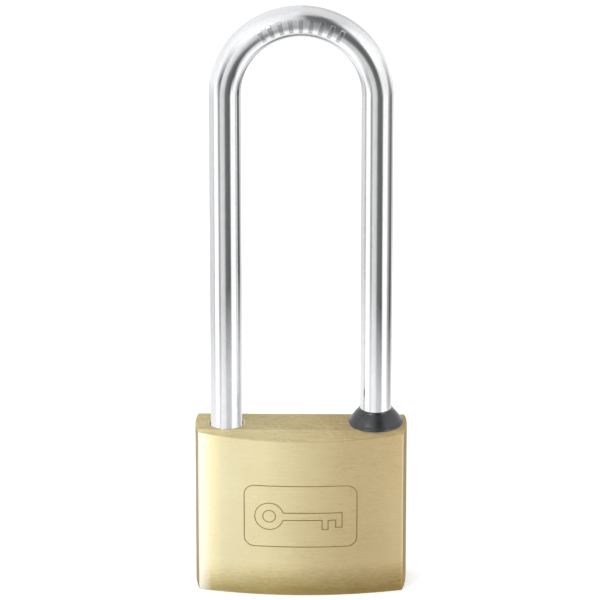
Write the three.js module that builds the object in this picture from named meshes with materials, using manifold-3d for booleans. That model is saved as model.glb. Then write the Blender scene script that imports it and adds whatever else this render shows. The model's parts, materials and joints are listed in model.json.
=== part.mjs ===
// Solid brass padlock with a long chromed shackle: body, shackle, keyed cylinder, pin stacks and latch.
// Millimetres. Origin at the middle of the body's underside, +Z up, -Y is the front, +X the collar side.
import * as THREE from "three";
import { mergeVertices } from "three/addons/utils/BufferGeometryUtils.js";
import Module from "manifold-3d";

const wasm = await Module();
wasm.setup();

// ---------------------------------------------------------------- sizes
// Body
const BODY_WIDTH = 50; // across the crowns of the two narrow sides
const BODY_HEIGHT = 41;
const SIDE_DEPTH = 11.8; // depth of a narrow side
const FACE_CROWN = 3.3; // how far each broad face bulges past the narrow sides
const SIDE_CROWN = 0.8; // how far each narrow side bulges
const TOP_FLAT_DEPTH = 9.6; // level strip along the top
const TOP_SLOPE = 0.303; // fall per mm of the sloped band in front of the strip
const BACK_SLOPE = 0.46; // fall per mm of the sloped band behind it
const EMBLEM_WIDTH = 27; // engraved frame on the front face
const EMBLEM_HEIGHT = 16;
const EMBLEM_LINE = 0.45;
const ENGRAVING_DEPTH = 0.3;

// Shackle
const SHACKLE_DIA = 7.4;
const LEG_WALL = 3.4; // brass between a leg's hole and the crown of the narrow side
const LEG_GAP = 0.3; // round each leg, on the radius
const SHACKLE_CLEARANCE = 96; // top of the body to the inside of the bow
const TOE_TIP = 1.2; // steel below the notch of the toe leg
const TOE_FREE = 1.5; // how far the released toe leg rises clear of the body
const HEEL_TIP = 3.25; // steel below the neck of the heel leg
const NECK_CUT = 1.4; // depth of the turned neck of the heel leg
const HOLE_CHAMFER = 0.5;
const SHACKLE_SPRING_SPACE = 10; // under the heel leg
const MARK_COUNT = 9; // raised bars on the front of the bow
const MARK_ARC = 1.08; // radians of the bow that they cover
const MARK_RELIEF = 0.3;

// Collar on the heel leg
const COLLAR_FLARE = 2.8; // how far its foot stands out from the leg
const COLLAR_WALL = 0.2; // at its top edge
const COLLAR_HEIGHT = 3.95;

// Keyed cylinder
const PLUG_DIA = 12.4;
const TAIL_DIA = 8.6;
const TAIL_HEIGHT = 3.5;
const PLUG_GAP = 0.15; // round the plug, on the radius
const KEYWAY_WIDTH = 1.3;
const GROOVE_DEPTH = 1.1;

// Pin stacks
const PIN_COUNT = 5;
const FIRST_PIN = 5; // height of the lowest stack
const PIN_PITCH = 3.8;
const PIN_DIA = 2.9;
const KEY_PIN_LENGTHS = [4.0, 4.9, 3.6, 5.3, 4.4];
const DRIVER_LENGTH = 5;
const CHAMBER_GAP = 0.1; // round each pin, on the radius

// Latch
const LATCH_DEPTH = 6.5; // from the top of the body to the latch's axis
const LATCH_DIA = 6.8;
const LATCH_THROW = 2.4;
const LATCH_END_WALL = 1.4; // brass between the latch's bore and the heel leg's hole
const LATCH_SPRING_SPACE = 4.4; // behind the latch while it is drawn back
const SPRING_POCKET = 1; // in the back end of the latch
const NOTCH_GAP = 0.4; // above and below the latch in the toe leg's notch
const DRIVE_PIN_DIA = 2.2;
const DRIVE_PIN_COVER = 0.6; // between the plug's tail and the latch

// Dowels
const HEEL_PIN_DIA = 3;
const HEEL_PIN_DEPTH = 9; // below the top of the body
const RETAINING_PIN_DIA = 2;

const FIT = 0.12; // between a fixed piece and its hole, on the radius

// ---------------------------------------------------------------- derived
const halfDepth = SIDE_DEPTH / 2 + FACE_CROWN;
const legR = SHACKLE_DIA / 2;
const legHoleR = legR + LEG_GAP;
const legX = BODY_WIDTH / 2 - LEG_WALL - legHoleR;
const bowR = legX;
const springZ = BODY_HEIGHT + SHACKLE_CLEARANCE + legR - bowR; // where the legs turn into the bow

const latchZ = BODY_HEIGHT - LATCH_DEPTH;
const latchR = LATCH_DIA / 2;
const notchHalf = latchR + NOTCH_GAP;
const latchTip = -(legX - legHoleR); // the latch drawn back, level with the wall of the toe hole
const latchBoreEnd = legX - legHoleR - LATCH_END_WALL;
const latchEnd = latchBoreEnd - LATCH_SPRING_SPACE;
const plugHeight = latchZ - latchR - DRIVE_PIN_COVER - TAIL_HEIGHT;
const retainingZ = plugHeight - 2.6;

const toeEnd = latchZ - notchHalf - TOE_TIP;
const lift = BODY_HEIGHT - toeEnd + TOE_FREE; // travel of the shackle when it is released
const neckR = legR - NECK_CUT;
const heelPinX = legX + neckR + HEEL_PIN_DIA / 2 + 0.2;
const heelPinZ = BODY_HEIGHT - HEEL_PIN_DEPTH;
const neckTop = heelPinZ + HEEL_PIN_DIA / 2 + 0.25;
const neckBottom = heelPinZ - HEEL_PIN_DIA / 2 - 0.25 - lift;
const heelEnd = neckBottom - HEEL_TIP;
const pinZ = Array.from({ length: PIN_COUNT }, (_, i) => FIRST_PIN + i * PIN_PITCH);

// ---------------------------------------------------------------- solid helpers
const solid = (geometry) => {
  geometry.deleteAttribute("normal");
  geometry.deleteAttribute("uv");
  const g = mergeVertices(geometry, 1e-4);
  return new wasm.Manifold(
    new wasm.Mesh({
      numProp: 3,
      vertProperties: new Float32Array(g.attributes.position.array),
      triVerts: new Uint32Array(g.index.array),
    }),
  );
};

const toGeometry = (manifold) => {
  const m = manifold.getMesh();
  const g = new THREE.BufferGeometry();
  g.setAttribute("position", new THREE.BufferAttribute(new Float32Array(m.vertProperties), 3));
  g.setIndex(new THREE.BufferAttribute(new Uint32Array(m.triVerts), 1));
  const flat = g.toNonIndexed();
  flat.computeVertexNormals();
  return flat;
};

// A round bar from height z0 to z1, standing at (x, y).
const bar = (r, z0, z1, x = 0, y = 0, sides = 32) => {
  const g = new THREE.CylinderGeometry(r, r, z1 - z0, sides);
  g.rotateX(Math.PI / 2);
  g.translate(x, y, (z0 + z1) / 2);
  return solid(g);
};

// A round bar along X.
const barX = (r, x0, x1, z, y = 0, sides = 24) => {
  const g = new THREE.CylinderGeometry(r, r, x1 - x0, sides);
  g.rotateZ(-Math.PI / 2);
  g.translate((x0 + x1) / 2, y, z);
  return solid(g);
};

// A round bar along Y.
const barY = (r, y0, y1, x, z, sides = 20) => {
  const g = new THREE.CylinderGeometry(r, r, y1 - y0, sides);
  g.translate(x, (y0 + y1) / 2, z);
  return solid(g);
};

const box = (x0, x1, y0, y1, z0, z1) => {
  const g = new THREE.BoxGeometry(x1 - x0, y1 - y0, z1 - z0);
  g.translate((x0 + x1) / 2, (y0 + y1) / 2, (z0 + z1) / 2);
  return solid(g);
};

// A turned piece: pairs of radius and height, from the axis round to the axis.
const turned = (profile, x = 0, y = 0, sides = 40) => {
  const g = new THREE.LatheGeometry(
    profile.map(([r, z]) => new THREE.Vector2(r, z)),
    sides,
  );
  g.rotateX(Math.PI / 2);
  g.translate(x, y, 0);
  return solid(g);
};

// A closed coil of round wire, standing on z0 and reaching z1.
const coil = (meanR, wireR, z0, z1, turns, wireSides = 6) => {
  const points = [];
  const steps = turns * 12;
  for (let i = 0; i <= steps; i++) {
    const a = (i / 12) * Math.PI * 2;
    const z = z0 + wireR * 1.1 + (z1 - z0 - wireR * 2.2) * (i / steps);
    points.push(new THREE.Vector3(Math.cos(a) * meanR, Math.sin(a) * meanR, z));
  }
  const path = new THREE.CatmullRomCurve3(points);
  const wire = new THREE.Shape();
  wire.absarc(0, 0, wireR, 0, Math.PI * 2, false);
  return solid(
    new THREE.ExtrudeGeometry(wire, {
      steps,
      curveSegments: wireSides / 2,
      bevelEnabled: false,
      extrudePath: path,
    }),
  );
};

const group = new THREE.Group();
group.name = "padlock";

const material = (color, roughness, metalness = 1) =>
  new THREE.MeshStandardMaterial({ color, roughness, metalness });
const brass = material(0xc9a85a, 0.32);
const darkBrass = material(0xb08f45, 0.4);
const chrome = material(0xd8dadd, 0.08);
const steel = material(0x9a9da1, 0.3);
const springSteel = material(0x7d8085, 0.35);
const elastomer = material(0x26282c, 0.6, 0);

const add = (parent, name, manifold, mat) => {
  const mesh = new THREE.Mesh(toGeometry(manifold), mat);
  mesh.name = name;
  parent.add(mesh);
  return mesh;
};

// ---------------------------------------------------------------- body
// Outline seen from above: two crowned faces and two crowned narrow sides.
const bodyOutline = (inset = 0) => {
  const hw = BODY_WIDTH / 2 - SIDE_CROWN - inset;
  const hd = SIDE_DEPTH / 2 - inset;
  const points = [];
  const faceSteps = 36;
  const sideSteps = 8;
  const faceAt = (t) => hd + FACE_CROWN * (1 - t * t);
  const sideAt = (t) => hw + SIDE_CROWN * (1 - t * t);
  for (let i = 0; i < faceSteps; i++) {
    const t = -1 + (2 * i) / faceSteps;
    points.push(new THREE.Vector2(t * hw, -faceAt(t)));
  }
  for (let i = 0; i < sideSteps; i++) {
    const t = -1 + (2 * i) / sideSteps;
    points.push(new THREE.Vector2(sideAt(t), t * hd));
  }
  for (let i = 0; i < faceSteps; i++) {
    const t = 1 - (2 * i) / faceSteps;
    points.push(new THREE.Vector2(t * hw, faceAt(t)));
  }
  for (let i = 0; i < sideSteps; i++) {
    const t = 1 - (2 * i) / sideSteps;
    points.push(new THREE.Vector2(-sideAt(t), t * hd));
  }
  return new THREE.Shape(points);
};

const bodyBlock = (inset = 0) => {
  const g = new THREE.ExtrudeGeometry(bodyOutline(inset), {
    depth: BODY_HEIGHT - inset,
    bevelEnabled: false,
  });
  return solid(g);
};

// The level strip and the sloped band on each side of it, as a roof over the block.
const roof = () => {
  const flat = TOP_FLAT_DEPTH / 2;
  const far = halfDepth + 5;
  const frontFall = (far - flat) * TOP_SLOPE;
  const backFall = (far - flat) * BACK_SLOPE;
  const section = new THREE.Shape();
  section.moveTo(-far, -5);
  section.lineTo(far, -5);
  section.lineTo(far, BODY_HEIGHT - backFall);
  section.lineTo(flat, BODY_HEIGHT);
  section.lineTo(-flat, BODY_HEIGHT);
  section.lineTo(-far, BODY_HEIGHT - frontFall);
  const g = new THREE.ExtrudeGeometry(section, { depth: BODY_WIDTH + 10, bevelEnabled: false });
  g.rotateX(Math.PI / 2);
  g.rotateZ(Math.PI / 2);
  g.translate(-BODY_WIDTH / 2 - 5, 0, 0);
  return solid(g);
};

const legHole = (x, bottom) => {
  const r = legHoleR;
  const top = BODY_HEIGHT;
  const profile = [
    [0, bottom],
    [r, bottom],
    [r, top - HOLE_CHAMFER],
    [r + HOLE_CHAMFER, top],
    [r + HOLE_CHAMFER, top + 1],
    [0, top + 1],
  ];
  return turned(profile, x);
};

const heelHoleBottom = heelEnd - SHACKLE_SPRING_SPACE;
const toeHoleBottom = toeEnd - 1.5;
const plugBoreR = PLUG_DIA / 2 + PLUG_GAP;
const tailBoreR = TAIL_DIA / 2 + PLUG_GAP;
const chamberR = PIN_DIA / 2 + CHAMBER_GAP;
const sideX = -BODY_WIDTH / 2;
const camHoleR = LATCH_THROW * Math.SQRT1_2 + DRIVE_PIN_DIA / 2 + 0.3; // room for the drive pin's swing

let bodySolid = bodyBlock().intersect(roof());
bodySolid = bodySolid
  .subtract(legHole(-legX, toeHoleBottom))
  .subtract(legHole(legX, heelHoleBottom))
  .subtract(bar(plugBoreR, -1, plugHeight + 0.2, 0, 0, 48))
  .subtract(bar(tailBoreR, plugHeight, plugHeight + TAIL_HEIGHT + 0.6, 0, 0, 32))
  .subtract(bar(camHoleR, plugHeight, latchZ, 0, 0, 32))
  .subtract(barX(latchR + PLUG_GAP, sideX - 1, latchBoreEnd, latchZ, 0, 32))
  .subtract(barY(HEEL_PIN_DIA / 2 + FIT, -4, halfDepth + 1, heelPinX, heelPinZ))
  .subtract(barY(RETAINING_PIN_DIA / 2 + FIT, -2, halfDepth + 1, PLUG_DIA / 2, retainingZ, 16));
for (const z of pinZ) {
  bodySolid = bodySolid.subtract(barX(chamberR, sideX - 1, 0, z, 0, 16));
}

// Engraved on the front: the outline of a plain key in a rounded frame.
const frontY = -halfDepth - 1;
const emblemZ = BODY_HEIGHT / 2;
const roundedSlab = (w, h, r) => {
  const s = new THREE.Shape();
  s.absarc(w / 2 - r, h / 2 - r, r, 0, Math.PI / 2, false);
  s.absarc(-w / 2 + r, h / 2 - r, r, Math.PI / 2, Math.PI, false);
  s.absarc(-w / 2 + r, -h / 2 + r, r, Math.PI, Math.PI * 1.5, false);
  s.absarc(w / 2 - r, -h / 2 + r, r, Math.PI * 1.5, Math.PI * 2, false);
  s.closePath();
  const g = new THREE.ExtrudeGeometry(s, { depth: halfDepth, bevelEnabled: false, curveSegments: 6 });
  g.rotateX(Math.PI / 2);
  g.translate(0, -1, emblemZ);
  return solid(g);
};
const plate = (x0, x1, z0, z1) => box(x0, x1, frontY, -2, emblemZ + z0, emblemZ + z1);
const disc = (r) => barY(r, frontY, -2, -7.4, emblemZ, 32);
const keySlab = (inset) =>
  disc(3.6 - inset)
    .add(plate(-6, 10 - inset, -1.1 + inset, 1.1 - inset))
    .add(plate(5 + inset, 6.6 - inset, -3.4 + inset, 0))
    .add(plate(8.2 + inset, 10 - inset, -2.9 + inset, 0));
const line = EMBLEM_LINE * 2;
const engraving = roundedSlab(EMBLEM_WIDTH, EMBLEM_HEIGHT, 2.4)
  .subtract(roundedSlab(EMBLEM_WIDTH - line, EMBLEM_HEIGHT - line, 2.4 - EMBLEM_LINE))
  .add(keySlab(0).subtract(keySlab(EMBLEM_LINE)))
  .add(disc(1.7).subtract(disc(1.7 - EMBLEM_LINE)))
  .subtract(bodyBlock(ENGRAVING_DEPTH));
bodySolid = bodySolid.subtract(engraving);
add(group, "body", bodySolid, brass);

// Pieces pressed into the body are trimmed to its surface.
const skin = bodyBlock().intersect(roof());

// ---------------------------------------------------------------- shackle
const shackleGroup = new THREE.Group();
shackleGroup.name = "shackle_group";
group.add(shackleGroup);

// One closed skin over a row of rings: [angle along the bow, height on a straight leg or null, radius].
const RING = 40;
const skinned = (rings) => {
  const vertices = [];
  const faces = [];
  const centre = ([a, z]) => {
    const onLeg = z !== null;
    return [bowR * Math.cos(a), onLeg ? z : springZ + bowR * Math.sin(a)];
  };
  for (const entry of rings) {
    const [a, , r] = entry;
    const [cx, cz] = centre(entry);
    for (let j = 0; j < RING; j++) {
      const b = (j / RING) * Math.PI * 2;
      const out = r * Math.cos(b);
      vertices.push(cx + out * Math.cos(a), r * Math.sin(b), cz + out * Math.sin(a));
    }
  }
  for (let i = 0; i + 1 < rings.length; i++) {
    for (let j = 0; j < RING; j++) {
      const p = i * RING + j;
      const q = i * RING + ((j + 1) % RING);
      faces.push(p, q, q + RING, p, q + RING, p + RING);
    }
  }
  const last = (rings.length - 1) * RING;
  const caps = vertices.length / 3;
  for (const entry of [rings[0], rings[rings.length - 1]]) {
    const [cx, cz] = centre(entry);
    vertices.push(cx, 0, cz);
  }
  for (let j = 0; j < RING; j++) {
    const k = (j + 1) % RING;
    faces.push(caps, k, j);
    faces.push(caps + 1, last + j, last + k);
  }
  const g = new THREE.BufferGeometry();
  g.setAttribute("position", new THREE.BufferAttribute(new Float32Array(vertices), 3));
  g.setIndex(faces);
  return solid(g);
};
const BOW_STEPS = 32;
const bowRings = (r, from = 0, to = BOW_STEPS) =>
  Array.from({ length: to - from + 1 }, (_, i) => [(Math.PI * (from + i)) / BOW_STEPS, null, r]);

// The heel leg's neck is as long as the shackle's lift, so that the heel pin passes along it.
const notchFloor = -legX + legR - LATCH_THROW - 0.2;
let shackleSolid = skinned([
  [0, heelEnd, legR - 0.8],
  [0, heelEnd + 0.8, legR],
  [0, neckBottom, legR],
  [0, neckBottom, neckR],
  [0, neckTop, neckR],
  [0, neckTop, legR],
  ...bowRings(legR),
  [Math.PI, toeEnd + 0.8, legR],
  [Math.PI, toeEnd, legR - 0.8],
])
  .subtract(box(notchFloor, 0, -6, 6, latchZ - notchHalf, latchZ + notchHalf));
// A row of plain raised bars on the front of the bow.
const thickBow = skinned(bowRings(legR + MARK_RELIEF, 8, BOW_STEPS - 8));
for (let i = 0; i < MARK_COUNT; i++) {
  const g = new THREE.BoxGeometry(0.9, 3, 2.8);
  g.translate(0, -legR, bowR - 0.4);
  g.rotateY(-MARK_ARC / 2 + (MARK_ARC * i) / (MARK_COUNT - 1));
  g.translate(0, 0, springZ);
  shackleSolid = shackleSolid.add(solid(g).intersect(thickBow));
}
add(shackleGroup, "shackle", shackleSolid, chrome);

// Collar: a cone with a rolled lip at the foot, open for the leg.
const collarBase = BODY_HEIGHT + 0.05;
const collarTop = collarBase + COLLAR_HEIGHT;
const collarBore = legR + 0.05;
const collarFoot = legR + COLLAR_FLARE;
const collarRim = legR + COLLAR_WALL;
const collarProfile = [
  [collarBore, collarBase],
  [collarFoot - 0.15, collarBase],
  [collarFoot, collarBase + 0.2],
  [collarFoot, collarBase + 0.4],
  [collarFoot - 0.3, collarBase + 0.72],
  [collarRim + 0.02, collarTop - 0.3],
  [collarRim, collarTop],
  [collarBore, collarTop],
  [collarBore, collarBase],
];
add(shackleGroup, "collar", turned(collarProfile, legX), elastomer);

// Spring under the heel leg, compressed while the shackle is down.
const shackleSpring = coil(legHoleR - 1.1, 0.45, heelHoleBottom + 0.05, heelEnd - 0.05, 7);
const shackleSpringMesh = add(group, "shackle_spring", shackleSpring, springSteel);
shackleSpringMesh.position.x = legX;

const heelPin = barY(HEEL_PIN_DIA / 2, -3.8, halfDepth + 1, heelPinX, heelPinZ).intersect(skin);
add(group, "heel_pin", heelPin, steel);

// ---------------------------------------------------------------- cylinder
// Drawn with its pin holes towards the pin stacks, as when locked, then turned to the open position.
const cylinderGroup = new THREE.Group();
cylinderGroup.name = "cylinder_group";
cylinderGroup.rotation.z = Math.PI / 2;
group.add(cylinderGroup);

const plugR = PLUG_DIA / 2;
const grooveFloor = plugR - GROOVE_DEPTH;
const grooveHalf = RETAINING_PIN_DIA / 2 + 0.15;
const plugProfile = [
  [0, 0],
  [plugR - 0.4, 0],
  [plugR, 0.4],
  [plugR, retainingZ - grooveHalf],
  [grooveFloor, retainingZ - grooveHalf],
  [grooveFloor, retainingZ + grooveHalf],
  [plugR, retainingZ + grooveHalf],
  [plugR, plugHeight],
  [TAIL_DIA / 2, plugHeight],
  [TAIL_DIA / 2, plugHeight + TAIL_HEIGHT],
  [0, plugHeight + TAIL_HEIGHT],
];
// The keyway runs from just inside the far wall to the pin side and is stepped like a warded key slot.
const keywayTop = pinZ[PIN_COUNT - 1] + 3;
const half = KEYWAY_WIDTH / 2;
const drivePinX = -LATCH_THROW / 2;
const drivePinY = -LATCH_THROW / 2;
let plugSolid = turned(plugProfile, 0, 0, 48)
  .subtract(box(-2.2, 4.6, -half, half, -1, keywayTop))
  .subtract(box(0.6, 2.2, -half - 0.7, half - 0.3, -1, keywayTop))
  .subtract(box(-1.2, -0.2, -half + 0.3, half + 0.6, -1, keywayTop))
  .subtract(bar(DRIVE_PIN_DIA / 2 + FIT, plugHeight - 1.5, plugHeight + TAIL_HEIGHT + 1,
    drivePinX, drivePinY, 20));
for (const z of pinZ) {
  plugSolid = plugSolid.subtract(barX(chamberR, -PLUG_DIA, -0.5, z, 0, 16));
}
add(cylinderGroup, "cylinder_plug", plugSolid, darkBrass);
const drivePin = bar(DRIVE_PIN_DIA / 2, plugHeight - 1.4, latchZ - 0.9, drivePinX, drivePinY, 20);
add(cylinderGroup, "drive_pin", drivePin, steel);

const retainingPin = barY(RETAINING_PIN_DIA / 2, -1.8, halfDepth + 1, plugR, retainingZ, 16);
add(group, "plug_retaining_pin", retainingPin.intersect(skin), steel);

// ---------------------------------------------------------------- pin stacks
// The stacks stand as a matching key sets them: every key pin ends at the plug's surface.
const driverStart = -plugR - PLUG_GAP - 0.02;
const chamberPlugX = -(BODY_WIDTH / 2 - 2.6);
for (let i = 0; i < PIN_COUNT; i++) {
  const z = pinZ[i];
  const stack = new THREE.Group();
  stack.name = "pin_stack_" + (i + 1);
  group.add(stack);
  const r = PIN_DIA / 2;

  // Key pin: rounded on the plug side of its outer end, pointed where it meets the key.
  const keyPin = new THREE.LatheGeometry(
    [
      [0, 0],
      [0.5, 0],
      [r, 1.0],
      [r, KEY_PIN_LENGTHS[i] - 0.35],
      [r - 0.35, KEY_PIN_LENGTHS[i] - 0.05],
      [0, KEY_PIN_LENGTHS[i]],
    ].map(([a, b]) => new THREE.Vector2(a, b)),
    16,
  );
  keyPin.rotateZ(Math.PI / 2);
  keyPin.translate(-plugR + KEY_PIN_LENGTHS[i] + 0.05, 0, z);
  add(cylinderGroup, "key_pin_" + (i + 1), solid(keyPin), darkBrass);

  const driver = new THREE.LatheGeometry(
    [
      [0, 0],
      [r - 0.2, 0],
      [r, 0.2],
      [r, DRIVER_LENGTH - 0.2],
      [r - 0.2, DRIVER_LENGTH],
      [0, DRIVER_LENGTH],
    ].map(([a, b]) => new THREE.Vector2(a, b)),
    16,
  );
  driver.rotateZ(Math.PI / 2);
  driver.translate(driverStart, 0, z);
  add(stack, "driver_pin_" + (i + 1), solid(driver), steel);

  const springStart = driverStart - DRIVER_LENGTH - 0.05;
  const length = springStart - chamberPlugX - 0.05;
  const pinSpring = coil(1.05, 0.22, 0, length, 6, 4);
  const springMesh = add(stack, "pin_spring_" + (i + 1), pinSpring, springSteel);
  springMesh.rotation.y = -Math.PI / 2;
  springMesh.position.set(springStart, 0, z);

  const stopper = barX(chamberR - 0.02, sideX - 1, chamberPlugX, z, 0, 16).intersect(skin);
  add(stack, "chamber_plug_" + (i + 1), stopper, brass);
}

// ---------------------------------------------------------------- latch
const latchGroup = new THREE.Group();
latchGroup.name = "latch_group";
group.add(latchGroup);

// The nose is ramped on top so that a closing shackle pushes it back by itself.
const ramp = new THREE.Shape();
ramp.moveTo(latchTip - 1, latchZ - 0.2);
ramp.lineTo(latchTip - 1, latchZ + latchR + 1);
ramp.lineTo(latchTip + 3.2, latchZ + latchR + 1);
ramp.lineTo(latchTip, latchZ + 0.6);
const rampGeometry = new THREE.ExtrudeGeometry(ramp, { depth: 10, bevelEnabled: false });
rampGeometry.rotateX(Math.PI / 2);
rampGeometry.translate(0, 5, 0);
const slotHalf = DRIVE_PIN_DIA / 2 + 0.15;
const slotX = LATCH_THROW / 2; // the drive pin stands here while the latch is drawn back
const latchSolid = barX(latchR, latchTip, latchEnd, latchZ, 0, 32)
  .subtract(solid(rampGeometry))
  .subtract(box(slotX - slotHalf, slotX + slotHalf, -5, 5, latchZ - 5, latchZ - 0.6))
  .subtract(barX(2.3, latchEnd - SPRING_POCKET, latchEnd + 1, latchZ, 0, 20));
add(latchGroup, "latch", latchSolid, steel);

const latchSpringLength = LATCH_SPRING_SPACE + SPRING_POCKET - 0.1;
const latchSpring = coil(1.75, 0.3, 0, latchSpringLength, 5);
const latchSpringMesh = add(group, "latch_spring", latchSpring, springSteel);
latchSpringMesh.rotation.y = Math.PI / 2;
latchSpringMesh.position.set(latchEnd - SPRING_POCKET + 0.05, 0, latchZ);

const latchPlugX = -legX - legHoleR - 0.15;
const latchPlug = barX(latchR + PLUG_GAP - 0.03, sideX - 1, latchPlugX, latchZ, 0, 32);
add(group, "latch_bore_plug", latchPlug.intersect(skin), brass);

export default group;
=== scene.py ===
import json
import math

import bmesh
import bpy
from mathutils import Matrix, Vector


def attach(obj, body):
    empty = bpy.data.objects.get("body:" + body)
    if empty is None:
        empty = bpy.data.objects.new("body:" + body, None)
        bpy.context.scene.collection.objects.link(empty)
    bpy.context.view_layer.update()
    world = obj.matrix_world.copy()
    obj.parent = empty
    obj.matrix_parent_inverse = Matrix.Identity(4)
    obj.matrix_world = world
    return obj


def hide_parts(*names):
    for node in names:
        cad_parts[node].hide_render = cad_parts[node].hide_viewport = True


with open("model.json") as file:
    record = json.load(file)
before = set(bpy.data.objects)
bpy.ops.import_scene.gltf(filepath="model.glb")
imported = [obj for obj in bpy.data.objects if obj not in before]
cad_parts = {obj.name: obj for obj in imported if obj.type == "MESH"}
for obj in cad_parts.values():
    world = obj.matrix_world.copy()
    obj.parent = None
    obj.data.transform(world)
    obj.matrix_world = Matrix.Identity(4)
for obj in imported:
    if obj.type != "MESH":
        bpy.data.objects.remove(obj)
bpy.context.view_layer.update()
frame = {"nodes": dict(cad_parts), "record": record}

MM = 0.001

# Sizes of the padlock in millimetres, the same as the solids'
WIDTH = 50.0
HEIGHT = 41.0
SIDE_DEPTH = 11.8  # depth of a narrow side
FACE_CROWN = 3.3  # how far a broad face bulges
SIDE_CROWN = 0.8  # how far a narrow side bulges
TOP_FLAT = 4.8  # half the depth of the level strip along the top
TOP_SLOPE = 0.303  # fall per mm in front of the strip
BACK_SLOPE = 0.46  # and behind it
EDGE = 0.24  # width of the broken edges
HALF_W = WIDTH / 2 - SIDE_CROWN
HALF_D = SIDE_DEPTH / 2

LEG_X = 17.6
LEG_R = 3.7
NECK_R = 2.3
LEG_HOLE_R = 4.0
HOLE_CHAMFER = 0.5
SPRING_Z = 123.1  # where the legs turn into the bow
TOE_END = 29.5
HEEL_END = 14.0
TOE_HOLE_BOTTOM = 28.0
HEEL_HOLE_BOTTOM = 4.0
NECK_BOTTOM = 17.25
NECK_TOP = 33.75
MARK_COUNT = 9  # raised bars on the bow
MARK_ARC = 1.08  # radians that they cover

LATCH_Z = 34.5
LATCH_BORE_R = 3.55
LATCH_BORE_END = 12.2
NOTCH_HALF = 3.8
NOTCH_X = -16.5
CHAMBER_R = 1.55
CHAMBER_COUNT = 5
FIRST_CHAMBER = 5.0
CHAMBER_PITCH = 3.8
PLUG_BORE = [(0, -1.0), (6.75, -1.0), (6.75, 0.0), (6.35, 0.4), (6.35, 27.2), (4.45, 27.2), (4.45, 31.1),
             (3.1, 31.1), (3.1, LATCH_Z), (0, LATCH_Z)]  # radius and height, with the drive pin's room on top

GROOVE_WIDTH = 0.28
GROOVE_DEPTH = 0.2

# Places of the materials on a piece that has more than one
BORE_SHADE_FACES = 1
LINE_FACES = 2
STRUCK_FACES = 1


# ------------------------------------------------------------------ mesh helpers
def make(name, verts, faces, smooth_angle=30.0):
    """A mesh object from points in millimetres."""
    mesh = bpy.data.meshes.new(name)
    mesh.from_pydata([(x * MM, y * MM, z * MM) for x, y, z in verts], [], faces)
    mesh.validate()
    obj = bpy.data.objects.new(name, mesh)
    bpy.context.scene.collection.objects.link(obj)
    bm = bmesh.new()
    bm.from_mesh(mesh)
    bmesh.ops.recalc_face_normals(bm, faces=bm.faces)
    bm.to_mesh(mesh)
    bm.free()
    smooth(obj, smooth_angle)
    return obj


def smooth(obj, angle):
    for p in obj.data.polygons:
        p.use_smooth = True
    obj.data.set_sharp_from_angle(angle=math.radians(angle))


def baked(obj):
    """Replaces the object's mesh with what its modifiers make of it."""
    depsgraph = bpy.context.evaluated_depsgraph_get()
    mesh = bpy.data.meshes.new_from_object(obj.evaluated_get(depsgraph))
    obj.modifiers.clear()
    old = obj.data
    obj.data = mesh
    bpy.data.meshes.remove(old)


def boolean(obj, tool, operation="DIFFERENCE"):
    m = obj.modifiers.new("cut", "BOOLEAN")
    m.operation = operation
    m.solver = "EXACT"
    m.object = tool
    bpy.context.view_layer.update()
    baked(obj)
    mesh = tool.data
    bpy.data.objects.remove(tool)
    bpy.data.meshes.remove(mesh)


def lathe(name, profile, x=0.0, y=0.0, sides=64, smooth_angle=30.0):
    """A turned solid round a vertical axis; the profile runs axis to axis or closes on itself."""
    closed = profile[0] == profile[-1]
    rows = profile[:-1] if closed else profile
    verts, faces, index = [], [], []
    for r, z in rows:
        if r < 1e-6:
            index.append([len(verts)])
            verts.append((x, y, z))
            continue
        index.append(list(range(len(verts), len(verts) + sides)))
        for j in range(sides):
            a = 2 * math.pi * j / sides
            verts.append((x + r * math.cos(a), y + r * math.sin(a), z))
    pairs = list(zip(index, index[1:])) + ([(index[-1], index[0])] if closed else [])
    for a, b in pairs:
        for j in range(sides):
            k = (j + 1) % sides
            if len(a) == 1:
                faces.append((a[0], b[j], b[k]))
            elif len(b) == 1:
                faces.append((a[j], a[k], b[0]))
            else:
                faces.append((a[j], a[k], b[k], b[j]))
    return make(name, verts, faces, smooth_angle)


def box(name, low, high):
    verts = [(x, y, z) for x in (low[0], high[0]) for y in (low[1], high[1]) for z in (low[2], high[2])]
    return make(name, verts, [(0, 1, 3, 2), (4, 6, 7, 5), (0, 4, 5, 1), (2, 3, 7, 6), (0, 2, 6, 4), (1, 5, 7, 3)])


def square(name, half, z):
    """A level square round the origin."""
    return make(name, [(-half, -half, z), (half, -half, z), (half, half, z), (-half, half, z)], [(0, 1, 2, 3)])


def rod(name, r, start, end, sides=32):
    """A plain round bar between two points, for cutting holes."""
    a, b = Vector(start), Vector(end)
    axis = (b - a).normalized()
    side = axis.orthogonal().normalized()
    other = axis.cross(side)
    verts, faces = [], []
    for c in (a, b):
        for j in range(sides):
            t = 2 * math.pi * j / sides
            verts.append(tuple(c + side * (r * math.cos(t)) + other * (r * math.sin(t))))
    for j in range(sides):
        k = (j + 1) % sides
        faces.append((j, k, sides + k, sides + j))
    faces.append(tuple(range(sides)))
    faces.append(tuple(range(sides, 2 * sides)))
    return make(name, verts, faces)


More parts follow.
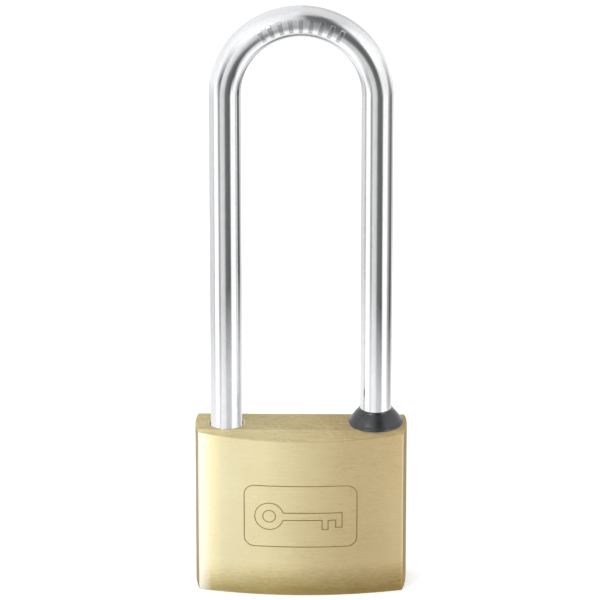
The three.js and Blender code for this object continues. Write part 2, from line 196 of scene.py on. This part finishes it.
# ------------------------------------------------------------------ material helpers
class Nodes:
    """Short names for building a node material."""

    def __init__(self, name):
        self.mat = bpy.data.materials.new(name)
        self.mat.use_nodes = True
        self.tree = self.mat.node_tree
        self.shader = next(n for n in self.tree.nodes if n.type == "BSDF_PRINCIPLED")
        source = self.tree.nodes.new("ShaderNodeTexCoord")
        self.coords = source.outputs["Object"]
        self.normal = source.outputs["Normal"]

    def link(self, a, b):
        self.tree.links.new(a, b)

    def set(self, **values):
        for key, value in values.items():
            self.shader.inputs[key.replace("_", " ")].default_value = value

    def scaled(self, scale, offset=(0, 0, 0)):
        n = self.tree.nodes.new("ShaderNodeMapping")
        n.inputs["Scale"].default_value = scale
        n.inputs["Location"].default_value = offset
        self.link(self.coords, n.inputs["Vector"])
        return n.outputs["Vector"]

    def parts(self, vector):
        """The X, Y and Z of a vector."""
        n = self.tree.nodes.new("ShaderNodeSeparateXYZ")
        self.link(vector, n.inputs[0])
        return n.outputs

    def noise(self, vector, detail=2.0):
        n = self.tree.nodes.new("ShaderNodeTexNoise")
        n.inputs["Scale"].default_value = 1.0
        n.inputs["Detail"].default_value = detail
        self.link(vector, n.inputs["Vector"])
        return n.outputs["Fac"]

    def spread(self, value, low, high, to_low, to_high):
        n = self.tree.nodes.new("ShaderNodeMapRange")
        for i, v in enumerate((low, high, to_low, to_high)):
            n.inputs[i + 1].default_value = v
        self.link(value, n.inputs[0])
        return n.outputs[0]

    def maths(self, operation, a, b=None):
        n = self.tree.nodes.new("ShaderNodeMath")
        n.operation = operation
        for i, v in enumerate((a, b)):
            if v is None:
                continue
            if isinstance(v, (int, float)):
                n.inputs[i].default_value = v
            else:
                self.link(v, n.inputs[i])
        return n.outputs[0]

    def total(self, first, *others):
        for other in others:
            first = self.maths("ADD", first, other)
        return first

    def tinted(self, blend, share, colour, tint):
        n = self.tree.nodes.new("ShaderNodeMix")
        n.data_type = "RGBA"
        n.blend_type = blend
        self.link(share, n.inputs[0])
        self.link(colour, n.inputs[6])
        n.inputs[7].default_value = (*tint, 1)
        return n.outputs[2]

    def colours(self, value, *stops):
        n = self.tree.nodes.new("ShaderNodeValToRGB")
        ramp = n.color_ramp
        while len(ramp.elements) < len(stops):
            ramp.elements.new(0.5)
        for e, (at, rgb) in zip(ramp.elements, stops):
            e.position = at
            e.color = (*rgb, 1)
        self.link(value, n.inputs[0])
        return n.outputs[0]

    def bump(self, height, strength, distance):
        n = self.tree.nodes.new("ShaderNodeBump")
        n.inputs["Strength"].default_value = strength
        n.inputs["Distance"].default_value = distance
        self.link(height, n.inputs["Height"])
        self.link(n.outputs[0], self.shader.inputs["Normal"])


def brushed_brass(name, light, dark, roughness, metallic=1.0, body=False):
    """Brass with fine horizontal brush lines under clear lacquer; on the body, painted shade and a painted highlight
    set by place.
    """
    m = Nodes(name)
    fine = m.noise(m.scaled((260, 260, 12000)))
    medium = m.noise(m.scaled((150, 150, 5200), (3, 1, 7)))
    cloud = m.noise(m.scaled((60, 60, 60), (11, 5, 2)), detail=3)
    lines = m.total(m.maths("MULTIPLY", fine, 0.6), m.maths("MULTIPLY", medium, 0.4))
    if body:
        place, facing = m.parts(m.coords), m.parts(m.normal)
        side = m.maths("ABSOLUTE", facing["X"])
        # The top is brushed lengthways too.
        top = m.noise(m.scaled((260, 6000, 260), (5, 9, 1)))
        share = m.spread(facing["Z"], 0.1, 0.25, 0.0, 1.0)
        lines = m.total(lines, m.maths("MULTIPLY", m.maths("SUBTRACT", top, lines), share))
    grain = m.noise(m.scaled((900, 900, 5000), (6, 2, 5)))
    weighted = [m.maths("MULTIPLY", part, share) for part, share in ((lines, 0.42), (cloud, 0.36), (grain, 0.22))]
    tone_and_shade = m.total(*weighted)
    if body:
        # Painted shade: darker at the foot, towards the right, on the sloped bands, on the top strip and on the narrow
        # sides
        tone_and_shade = m.total(
            tone_and_shade,
            m.spread(place["Z"], 0.0012, 0.0085, -0.44, 0.0),
            m.spread(place["X"], -0.012, 0.014, 0.06, -0.06),
            m.spread(facing["Z"], 0.15, 0.29, 0.0, -0.12),
            m.spread(facing["Z"], 0.96, 0.99, 0.0, -0.17),
            m.spread(side, 0.7, 0.95, 0.0, -0.5),
        )
    # the deepest colour stop, reached by the random tone and by the painted shade above
    deep_tone_and_shade = tuple(a * b for a, b in zip(dark, (0.52, 0.46, 0.27)))
    colour = m.colours(tone_and_shade, (0.05, deep_tone_and_shade), (0.42, dark), (0.62, light))
    if body:
        front = m.spread(facing["Y"], -0.9, -0.6, 1.0, 0.0)
        # painted shade: the body warmer and darker towards the right
        right_shade = m.spread(place["X"], -0.006, 0.014, 0.0, 1.0)
        # painted shade: the narrow sides darker and bluer
        narrow = m.spread(side, 0.7, 0.95, 0.0, 1.0)
        # painted shade: a darker band across the front, a little in from the left edge
        front_dark_band = m.maths("MULTIPLY", m.spread(place["X"], -0.0222, -0.0185, 0.0, 1.0),
                      m.spread(place["X"], -0.0165, -0.0085, 1.0, 0.0))
        # painted highlight: the front's left edge mixed towards a pale cream
        edge = m.spread(place["X"], -0.0238, -0.0211, 0.8, 0.0)
        colour = m.tinted("MULTIPLY", right_shade, colour, (0.99, 0.91, 0.85))
        colour = m.tinted("MULTIPLY", narrow, colour, (0.86, 0.88, 1.0))
        colour = m.tinted("MULTIPLY", m.maths("MULTIPLY", front_dark_band, front), colour, (0.84, 0.85, 0.88))
        colour = m.tinted("MIX", m.maths("MULTIPLY", edge, front), colour, (0.94, 0.92, 0.82))
    m.link(colour, m.shader.inputs["Base Color"])
    m.link(m.spread(lines, 0.3, 0.7, roughness - 0.03, roughness + 0.05), m.shader.inputs["Roughness"])
    m.set(Metallic=metallic, Anisotropic=0.92, Anisotropic_Rotation=0.25)
    m.set(Coat_Weight=0.5, Coat_Roughness=0.22, Coat_IOR=1.5)
    if body:
        m.link(m.spread(side, 0.7, 0.95, 0.5, 0.0), m.shader.inputs["Coat Weight"])
        tangent = m.tree.nodes.new("ShaderNodeCombineXYZ")
        tangent.inputs["X"].default_value = 1.0
        tangent.inputs["Y"].default_value = 0.02
    else:
        tangent = m.tree.nodes.new("ShaderNodeTangent")
        tangent.direction_type = "RADIAL"
        tangent.axis = "Z"
    m.link(tangent.outputs[0], m.shader.inputs["Tangent"])
    m.bump(lines, 0.1, 0.00003)
    return m.mat


def plain_metal(name, colour, roughness, grain=900.0, strength=0.05):
    m = Nodes(name)
    n = m.noise(m.scaled((grain, grain, grain)), detail=3)
    low = tuple(c * 0.93 for c in colour)
    m.link(m.colours(n, (0.3, low), (0.7, colour)), m.shader.inputs["Base Color"])
    m.link(m.spread(n, 0.3, 0.7, roughness * 0.85, roughness * 1.15), m.shader.inputs["Roughness"])
    m.set(Metallic=1.0)
    m.bump(n, strength, 0.00003)
    return m.mat


def chrome_plate(name):
    """Bright plating over a drawn bar: nearly a mirror, with a faint long waviness and a few marks."""
    m = Nodes(name)
    wave = m.noise(m.scaled((90, 90, 25)))
    speck = m.noise(m.scaled((1500, 1500, 500), (2, 4, 1)), detail=3)
    plating = m.colours(speck, (0.3, (0.86, 0.87, 0.885)), (0.6, (0.93, 0.935, 0.945)))
    m.link(plating, m.shader.inputs["Base Color"])
    m.link(m.spread(speck, 0.35, 0.75, 0.03, 0.075), m.shader.inputs["Roughness"])
    m.set(Metallic=1.0)
    height = m.maths("ADD", wave, m.maths("MULTIPLY", speck, 0.03))
    m.bump(height, 0.35, 0.0002)
    return m.mat


def elastomer(name):
    m = Nodes(name)
    n = m.noise(m.scaled((700, 700, 700)), detail=4)
    cloud = m.noise(m.scaled((160, 160, 160), (1, 8, 3)))
    black = m.colours(cloud, (0.3, (0.004, 0.005, 0.007)), (0.7, (0.010, 0.012, 0.016)))
    m.link(black, m.shader.inputs["Base Color"])
    m.link(m.spread(n, 0.3, 0.7, 0.2, 0.32), m.shader.inputs["Roughness"])
    m.set(IOR=1.75)
    m.bump(n, 0.12, 0.00006)
    return m.mat


BRASS = brushed_brass("brushed_brass", (0.90, 0.81, 0.49), (0.83, 0.71, 0.39), 0.5, metallic=0.7, body=True)
# dark brass painted into the holes and bores as their shade
BORE_SHADE = plain_metal("bore_shade_brass", (0.16, 0.11, 0.05), 0.5)
LINE = plain_metal("engraved_brass", (0.44, 0.33, 0.14), 0.45)
PLUG_BRASS = brushed_brass("plug_brass", (0.80, 0.62, 0.33), (0.66, 0.48, 0.22), 0.3)
CHROME = chrome_plate("chrome_plate")
STRUCK = plain_metal("struck_chrome", (0.62, 0.63, 0.65), 0.2, 2500.0, 0.2)
RUBBER = elastomer("collar_elastomer")
STEEL = plain_metal("ground_steel", (0.62, 0.62, 0.64), 0.28)
WIRE = plain_metal("spring_wire", (0.50, 0.51, 0.53), 0.32, 1500.0, 0.03)

by_slot = {
    "brass": BRASS,
    "plug_brass": PLUG_BRASS,
    "chrome": CHROME,
    "collar": RUBBER,
    "steel": STEEL,
    "spring_steel": WIRE,
}
slot_of = {s["node"]: s["material_slot"] for s in frame["record"]["subparts"]}
for node, obj in frame["nodes"].items():
    obj.data.materials.clear()
    obj.data.materials.append(by_slot[slot_of[node]])


def finish_piece(obj, material, body, slot, *nodes):
    obj.data.materials.clear()
    obj.data.materials.append(material)
    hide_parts(*nodes)
    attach(obj, body)


# ------------------------------------------------------------------ brass body
def face_y(x):
    t = x / HALF_W
    return HALF_D + FACE_CROWN * (1 - t * t)


def side_x(y):
    t = y / HALF_D
    return HALF_W + SIDE_CROWN * (1 - t * t)


def outline(face_steps=120):
    """The body seen from above, anticlockwise from the front left corner."""
    side = [-1, -TOP_FLAT / HALF_D, -0.6, -0.3, 0, 0.3, 0.6, TOP_FLAT / HALF_D]
    face = [-1 + 2 * i / face_steps for i in range(face_steps)]
    points = [(t * HALF_W, -face_y(t * HALF_W)) for t in face]
    points += [(side_x(t * HALF_D), t * HALF_D) for t in side]
    points += [(-t * HALF_W, face_y(t * HALF_W)) for t in face]
    points += [(-side_x(t * HALF_D), -t * HALF_D) for t in side]
    return points


def roof_z(y):
    slope = TOP_SLOPE if y < 0 else BACK_SLOPE
    return HEIGHT - max(0.0, abs(y) - TOP_FLAT) * slope


def body_mesh():
    base = outline()
    n = len(base)
    normals = []
    for i in range(n):
        a, b = Vector(base[i - 1]), Vector(base[(i + 1) % n])
        t = (b - a).normalized()
        normals.append((t.y, -t.x))
    # The foot is eased over by the polishing wheel.
    rings = [(0.0, 0.34), (0.15, 0.2), (0.45, 0.11), (1.0, 0.045), (1.8, 0.01), (2.6, 0.0)]
    verts = []
    for z, inset in rings:
        verts += [(x - nx * inset, y - ny * inset, z) for (x, y), (nx, ny) in zip(base, normals)]
    verts += [(x, y, roof_z(y)) for x, y in base]
    rows = len(rings) + 1
    faces = [tuple(range(n))]
    for r in range(rows - 1):
        for i in range(n):
            k = (i + 1) % n
            faces.append((r * n + i, r * n + k, (r + 1) * n + k, (r + 1) * n + i))
    top = (rows - 1) * n
    low = [i for i in range(n) if base[i][1] <= -TOP_FLAT + 1e-6]
    high = [i for i in range(n) if base[i][1] >= TOP_FLAT - 1e-6]
    middle = [i for i in range(n) if abs(base[i][1]) <= TOP_FLAT + 1e-6]
    low.insert(0, low.pop())  # the left side's last point comes before the front's first
    faces.append(tuple(top + i for i in low))
    faces.append(tuple(top + i for i in high))
    faces.append(tuple(top + i for i in middle))
    obj = make("brass_body", verts, faces)

    # Broken edges: round the roof, along its two creases and up the four corners.
    bm = bmesh.new()
    bm.from_mesh(obj.data)
    weight = bm.edges.layers.float.new("bevel_weight_edge")
    for e in bm.edges:
        if len(e.link_faces) != 2:
            continue
        angle = math.degrees(e.calc_face_angle(0))
        zs = [v.co.z / MM for v in e.verts]
        if min(zs) > 30 and 12 < angle < 30:
            e[weight] = 0.5
        elif angle > 35 and min(zs) >= 2.5:
            e[weight] = 1.0
        elif angle > 35 and max(zs) - min(zs) > 0.1:
            e[weight] = 1.0
    bm.to_mesh(obj.data)
    bm.free()
    m = obj.modifiers.new("edges", "BEVEL")
    m.limit_method = "WEIGHT"
    m.width = EDGE * MM
    m.segments = 3
    m.profile = 0.5
    bpy.context.view_layer.update()
    baked(obj)
    return obj


def groove(points, width, depth):
    """A closed ring with a trapezoid section that follows the front face, for cutting an engraved line."""
    n = len(points)
    verts, faces = [], []
    for i in range(n):
        p, a, b = Vector(points[i]), Vector(points[i - 1]), Vector(points[(i + 1) % n])
        t0, t1 = (p - a).normalized(), (b - p).normalized()
        m = Vector((t0.y + t1.y, -t0.x - t1.x)).normalized()
        reach = 1 / max(0.5, m.dot(Vector((t1.y, -t1.x))))
        for side, share, sink in ((1, 0.75, -0.3), (-1, 0.75, -0.3), (-1, 0.2, depth), (1, 0.2, depth)):
            q = p + m * (side * share * width * reach)
            verts.append((q.x, -face_y(q.x) + sink, q.y + HEIGHT / 2))
    for i in range(n):
        k = (i + 1) % n
        for s in range(4):
            u = (s + 1) % 4
            faces.append((4 * i + s, 4 * i + u, 4 * k + u, 4 * k + s))
    return make("groove", verts, faces)


def arc(cx, cz, r, start, end, steps):
    return [
        (cx + r * math.cos(math.radians(start + (end - start) * i / steps)),
         cz + r * math.sin(math.radians(start + (end - start) * i / steps)))
        for i in range(steps + 1)
    ]


def subdivided(points, longest=1.2):
    out = []
    for i, p in enumerate(points):
        q = points[(i + 1) % len(points)]
        steps = max(1, int(math.dist(p, q) / longest))
        out += [(p[0] + (q[0] - p[0]) * s / steps, p[1] + (q[1] - p[1]) * s / steps) for s in range(steps)]
    return out


body = body_mesh()

for name, x, bottom in (("toe_hole", -LEG_X, TOE_HOLE_BOTTOM), ("heel_hole", LEG_X, HEEL_HOLE_BOTTOM)):
    mouth = LEG_HOLE_R + HOLE_CHAMFER
    boolean(body, lathe(name, [(0, bottom), (LEG_HOLE_R, bottom), (LEG_HOLE_R, HEIGHT - HOLE_CHAMFER),
                               (mouth, HEIGHT), (mouth, HEIGHT + 1), (0, HEIGHT + 1)], x))
boolean(body, lathe("plug_bore", PLUG_BORE))
boolean(body, rod("latch_bore", LATCH_BORE_R, (-26, 0, LATCH_Z), (LATCH_BORE_END, 0, LATCH_Z)))
boolean(body, rod("heel_dowel_hole", 1.62, (21.6, -4, 32), (21.6, 12, 32)))
boolean(body, rod("plug_dowel_hole", 1.12, (6.2, -2, 24.4), (6.2, 12, 24.4)))
for i in range(CHAMBER_COUNT):
    z = FIRST_CHAMBER + CHAMBER_PITCH * i
    boolean(body, rod("chamber", CHAMBER_R, (-26, 0, z), (-1, 0, z)))

frame_line = subdivided(
    arc(10.9, 5.4, 2.4, 0, 90, 8) + arc(-10.9, 5.4, 2.4, 90, 180, 8)
    + arc(-10.9, -5.4, 2.4, 180, 270, 8) + arc(10.9, -5.4, 2.4, 270, 360, 8)
)
key_line = subdivided(
    arc(-7.4, 0, 3.4, 16, 344, 40)
    + [(5.1, -0.94), (5.1, -3.3), (6.5, -3.3), (6.5, -0.94), (8.3, -0.94), (8.3, -2.8), (9.8, -2.8), (9.8, 0.94)]
)
eye_line = arc(-7.4, 0, 1.5, 0, 350, 35)
for line in (frame_line, key_line, eye_line):
    boolean(body, groove(line, GROOVE_WIDTH, GROOVE_DEPTH))
smooth(body, 24)
finish_piece(body, BRASS, "lock_body", "brass", "body")
body.data.materials.append(BORE_SHADE)
body.data.materials.append(LINE)
for face in body.data.polygons:
    x, y, z = (c / MM for c in face.center)
    inside = min(face_y(x) - abs(y), side_x(y) - abs(x), roof_z(y) - z, z)
    # painted shade: faces more than 0.55 mm inside the outline, in the holes and bores, take the dark brass
    if inside > 0.55:
        face.material_index = BORE_SHADE_FACES
    elif inside > 0.04 and y < 0 and abs(x) < 14 and 10 < z < 31:
        face.material_index = LINE_FACES
body.visible_glossy = False


# ------------------------------------------------------------------ shackle
def shackle_mesh():
    ring = 64
    steps = 96
    # Angle round the bow, height on a leg, and radius: the heel leg with its neck, the bow, the toe leg
    tip = [(0.8, LEG_R), (0.2, 3.3), (0.0, 2.9)]
    rows = [(0, HEEL_END + rise, r) for rise, r in reversed(tip)] + [(0, NECK_BOTTOM, LEG_R)]
    rows += [(0, NECK_BOTTOM, NECK_R), (0, NECK_TOP, NECK_R), (0, NECK_TOP, LEG_R), (0, 60, LEG_R), (0, 90, LEG_R)]
    rows += [(math.pi * i / steps, None, LEG_R) for i in range(steps + 1)]
    rows += [(math.pi, 90, LEG_R), (math.pi, 60, LEG_R)]
    rows += [(math.pi, TOE_END + rise, r) for rise, r in tip]
    verts, faces = [], []
    for a, z, r in rows:
        cx = LEG_X * math.cos(a)
        cz = SPRING_Z + LEG_X * math.sin(a) if z is None else z
        for j in range(ring):
            b = 2 * math.pi * j / ring
            out = r * math.cos(b)
            verts.append((cx + out * math.cos(a), r * math.sin(b), cz + out * math.sin(a)))
    for i in range(len(rows) - 1):
        for j in range(ring):
            p, q = i * ring + j, i * ring + (j + 1) % ring
            faces.append((p, q, q + ring, p + ring))
    faces.append(tuple(range(ring)))
    faces.append(tuple(range((len(rows) - 1) * ring, len(rows) * ring)))
    return make("chrome_shackle", verts, faces)


def raised_bar(a0, half_a, half_b):
    """A low pad on the front of the bow, its top following the bar."""
    verts, faces = [], []
    cols, lines = 7, 5
    for r, ease in ((3.3, 1.1), (3.88, 1.0), (4.0, 0.8)):
        for i in range(cols):
            for j in range(lines):
                a = a0 + half_a * ease * (2 * j / (lines - 1) - 1)
                b = -math.pi / 2 + half_b * ease * (2 * i / (cols - 1) - 1)
                out = LEG_X + r * math.cos(b)
                verts.append((out * math.cos(a), r * math.sin(b), SPRING_Z + out * math.sin(a)))
    size = cols * lines
    edge = list(range(lines)) + [i * lines + lines - 1 for i in range(1, cols)]
    edge += [(cols - 1) * lines + j for j in range(lines - 2, -1, -1)] + [i * lines for i in range(cols - 2, 0, -1)]
    for layer in (0, size):
        for k, p in enumerate(edge):
            q = edge[(k + 1) % len(edge)]
            faces.append((layer + p, layer + q, layer + size + q, layer + size + p))
    for layer in (0, 2 * size):
        for i in range(cols - 1):
            for j in range(lines - 1):
                p = layer + i * lines + j
                faces.append((p, p + 1, p + lines + 1, p + lines))
    return make("bar", verts, faces)


shackle = shackle_mesh()
boolean(shackle, box("notch", (NOTCH_X, -6, LATCH_Z - NOTCH_HALF), (0, 6, LATCH_Z + NOTCH_HALF)))
for i in range(MARK_COUNT):
    at = math.pi / 2 - MARK_ARC / 2 + MARK_ARC * i / (MARK_COUNT - 1)
    boolean(shackle, raised_bar(at, 0.028, 0.42), "UNION")
smooth(shackle, 32)
finish_piece(shackle, CHROME, "shackle_body", "chrome", "shackle")
shackle.data.materials.append(STRUCK)
for face in shackle.data.polygons:
    x, y, z = (c / MM for c in face.center)
    if z > SPRING_Z + 8 and math.hypot(math.hypot(x, z - SPRING_Z) - LEG_X, y) > LEG_R + 0.04:
        face.material_index = STRUCK_FACES

# ------------------------------------------------------------------ collar
base = HEIGHT + 0.05
collar_profile = [(3.75, base), (6.3, base), (6.4, base + 0.03), (6.47, base + 0.1), (6.5, base + 0.22),
                  (6.5, base + 0.38), (6.46, base + 0.5), (6.36, base + 0.6), (6.2, base + 0.72)]
collar_profile += [(6.2 - 2.28 * t + 0.12 * math.sin(math.pi * t), base + 0.72 + 2.93 * t) for t in
                   (0.15, 0.3, 0.45, 0.6, 0.75, 0.9, 1.0)]
collar_profile += [(3.91, base + 3.74), (3.9, base + 3.85), (3.87, base + 3.92), (3.82, base + 3.95),
                   (3.75, base + 3.95), (3.75, base)]
collar = lathe("leg_collar", collar_profile, LEG_X, 0.0, 96, 40)
collar.visible_glossy = False
finish_piece(collar, RUBBER, "shackle_body", "collar", "collar")

# ------------------------------------------------------------------ floor, light, camera
floor = square("floor", 3000, -0.02)
m = Nodes("pale_floor")
n = m.noise(m.scaled((20, 20, 20)))
m.link(m.colours(n, (0.3, (0.93, 0.93, 0.93)), (0.7, (0.95, 0.95, 0.95))), m.shader.inputs["Base Color"])
m.set(Roughness=0.9, Emission_Color=(1, 1, 1, 1), Emission_Strength=0.35)
floor.data.materials.append(m.mat)
floor.visible_glossy = False

# What the metal mirrors of the floor: a pale ring round the lock that fades out at both edges.
sheet = square("sheet", 200, -0.01)
m = Nodes("paper")
m.shader.inputs["Base Color"].default_value = (0.94, 0.94, 0.94, 1)
reach = m.tree.nodes.new("ShaderNodeVectorMath")
reach.operation = "LENGTH"
m.link(m.coords, reach.inputs[0])
outer = m.spread(reach.outputs["Value"], 0.125, 0.19, 0.42, 0.0)
inner = m.spread(reach.outputs["Value"], 0.04, 0.09, 0.0, 1.0)
m.link(m.maths("MULTIPLY", outer, inner), m.shader.inputs["Alpha"])
m.set(Roughness=0.9, Emission_Color=(1, 1, 1, 1), Emission_Strength=0.35)
sheet.data.materials.append(m.mat)

world = bpy.data.worlds.new("studio")
bpy.context.scene.world = world
world.use_nodes = True
tree = world.node_tree
background = tree.nodes["Background"]
coords = tree.nodes.new("ShaderNodeTexCoord")
split = tree.nodes.new("ShaderNodeSeparateXYZ")
tree.links.new(coords.outputs["Generated"], split.inputs[0])


def wmath(operation, a, b=0.0):
    n = tree.nodes.new("ShaderNodeMath")
    n.operation = operation
    for i, v in enumerate((a, b)):
        if isinstance(v, (int, float)):
            n.inputs[i].default_value = v
        else:
            tree.links.new(v, n.inputs[i])
    return n.outputs[0]


def bands(value, stops, low, high):
    """A grey that runs through (value, grey) stops between low and high."""
    node = tree.nodes.new("ShaderNodeValToRGB")
    e = node.color_ramp.elements
    while len(e) < len(stops):
        e.new(0.5)
    for item, (at, grey) in zip(e, stops):
        item.position = (at - low) / (high - low)
        item.color = (grey, grey, grey, 1)
    tree.links.new(wmath("DIVIDE", wmath("SUBTRACT", value, low), high - low), node.inputs[0])
    return node.outputs[0]


def mixed(share, a, b):
    node = tree.nodes.new("ShaderNodeMix")
    node.data_type = "RGBA"
    tree.links.new(share, node.inputs[0])
    tree.links.new(a, node.inputs[6])
    tree.links.new(b, node.inputs[7])
    return node.outputs[2]


STUDIO_STRENGTH = 2.16
# Cards and soft boxes round the lock. Each layer is a height above the horizon in degrees, and the brightness round
# it by bearing from the front, where 90 is to the lock's right as it is seen.
LAYERS = [
    (-86, [(-180, 0.12), (-100, 0.24), (-75, 0.38), (-45, 0.58), (45, 0.64), (75, 0.52), (110, 0.10), (180, 0.12)]),
    (-66, [(-180, 0.70), (-140, 0.40), (-112, 0.62), (-95, 1.0), (0, 1.04), (85, 0.98), (100, 0.45), (120, 0.20),
           (140, 0.22), (158, 0.45), (180, 0.70)]),
    (-50, [(-180, 0.80), (-130, 0.66), (-108, 0.95), (-60, 1.03), (-32, 0.96), (-10, 0.76), (8, 0.50), (24, 0.38),
           (42, 0.60), (56, 1.0), (86, 1.0), (104, 0.46), (124, 0.34), (142, 0.5), (180, 0.80)]),
    (-34, [(-180, 0.88), (-132, 0.46), (-112, 0.60), (-100, 0.96), (-66, 0.92), (-54, 0.40), (-44, 0.48), (-30, 0.60),
           (-6, 0.58), (4, 0.42), (12, 0.14), (32, 0.09), (50, 0.16), (60, 0.74), (72, 1.0), (90, 0.92), (104, 0.42),
           (132, 0.26), (152, 0.14), (166, 0.45), (180, 0.88)]),
    (-22, [(-180, 0.68), (-140, 0.66), (-96, 0.70), (-89, 0.42), (-82, 1.08), (-54, 1.12), (-45, 0.34), (-36, 0.46),
           (-30, 0.72), (-6, 0.62), (5, 0.17), (30, 0.11), (40, 0.16), (46, 1.02), (78, 1.04), (88, 0.36), (100, 0.30),
           (108, 0.08), (126, 0.06), (138, 0.70), (156, 0.60), (168, 0.20), (180, 0.16)]),
    (-10, [(-180, 1.02), (-100, 0.90), (-68, 1.04), (-58, 0.60), (-50, 0.22), (-38, 0.16), (-30, 0.80), (-16, 0.78),
           (-4, 0.52), (4, 0.26), (10, 0.11), (28, 0.13), (36, 0.60), (44, 0.90), (84, 0.84), (94, 0.34), (112, 0.38),
           (124, 0.86), (140, 1.02), (180, 1.02)]),
    (14, [(-180, 0.76), (-120, 0.86), (-70, 0.98), (-56, 0.84), (-40, 1.03), (-22, 1.03), (-14, 0.70), (-2, 0.46),
          (6, 0.26), (14, 0.15), (26, 0.16), (34, 0.50), (42, 1.03), (100, 0.98), (124, 0.84), (146, 0.62),
          (180, 0.62)]),
    (34, [(-180, 0.80), (-110, 0.94), (-70, 1.03), (-30, 1.0), (-14, 0.86), (-2, 0.60), (5, 0.17), (26, 0.12),
          (36, 0.34), (45, 0.96), (70, 0.98), (104, 0.82), (134, 0.76), (150, 0.55), (180, 0.70)]),
    (54, [(-180, 0.76), (-100, 0.86), (-54, 0.94), (-22, 0.86), (-8, 0.76), (0, 0.44), (8, 0.17), (34, 0.16),
          (46, 0.34), (58, 0.68), (120, 0.70), (180, 0.74)]),
    (72, [(-180, 0.76), (-90, 0.80), (-20, 0.84), (4, 0.68), (30, 0.60), (60, 0.68), (120, 0.70), (180, 0.74)]),
]
bearing = wmath("MULTIPLY", wmath("ARCTAN2", split.outputs["X"], wmath("MULTIPLY", split.outputs["Y"], -1.0)),
                180 / math.pi)
height = wmath("MULTIPLY", wmath("ARCSINE", split.outputs["Z"]), 180 / math.pi)
light = None
for k, (level, stops) in enumerate(LAYERS):
    ring = bands(bearing, [(at, 0.5 * grey) for at, grey in stops], -180, 180)
    if light is None:
        light = ring
        continue
    step = bands(height, [(-90, 0), (LAYERS[k - 1][0], 0), (level, 1), (90, 1)], -90, 90)
    light = mixed(step, light, ring)
tree.links.new(light, background.inputs["Color"])
background.inputs["Strength"].default_value = STUDIO_STRENGTH


def softbox(name, place, aim_z, size, power, colour=(1.0, 1.0, 1.0), glossy=True):
    """A square lamp that points at a height on the lock's own axis."""
    light = bpy.data.lights.new(name, "AREA")
    light.shape = "SQUARE"
    light.size = size
    light.energy = power
    light.color = colour
    obj = bpy.data.objects.new(name, light)
    obj.location = place
    obj.rotation_euler = (Vector((0, 0, aim_z)) - Vector(place)).to_track_quat("-Z", "Y").to_euler()
    obj.visible_glossy = glossy
    bpy.context.scene.collection.objects.link(obj)


softbox("front", (-0.35, -1.3, 0.12), 0.03, 0.8, 6.5, glossy=False)
softbox("lamp_left", (-0.64, -0.93, 0.70), 0.05, 0.36, 3.4, colour=(0.92, 0.94, 1.0))
softbox("lamp_right", (0.98, -0.76, 0.32), 0.05, 0.40, 2.2)

camera_data = bpy.data.cameras.new("camera")
camera_data.sensor_width = 36.0
camera_data.lens = 306.7
camera_data.clip_end = 10.0
camera = bpy.data.objects.new("camera", camera_data)
bpy.context.scene.collection.objects.link(camera)
elevation, azimuth, distance = math.radians(21.8), math.radians(0.8), 1.1954
aim = Vector((-0.00025, 0, 0.07195))
camera.location = aim + distance * Vector(
    (math.sin(azimuth) * math.cos(elevation), -math.cos(azimuth) * math.cos(elevation), math.sin(elevation))
)
camera.rotation_euler = (aim - camera.location).to_track_quat("-Z", "Y").to_euler()
bpy.context.scene.camera = camera

bpy.context.scene.view_settings.view_transform = "Standard"

bpy.context.view_layer.update()
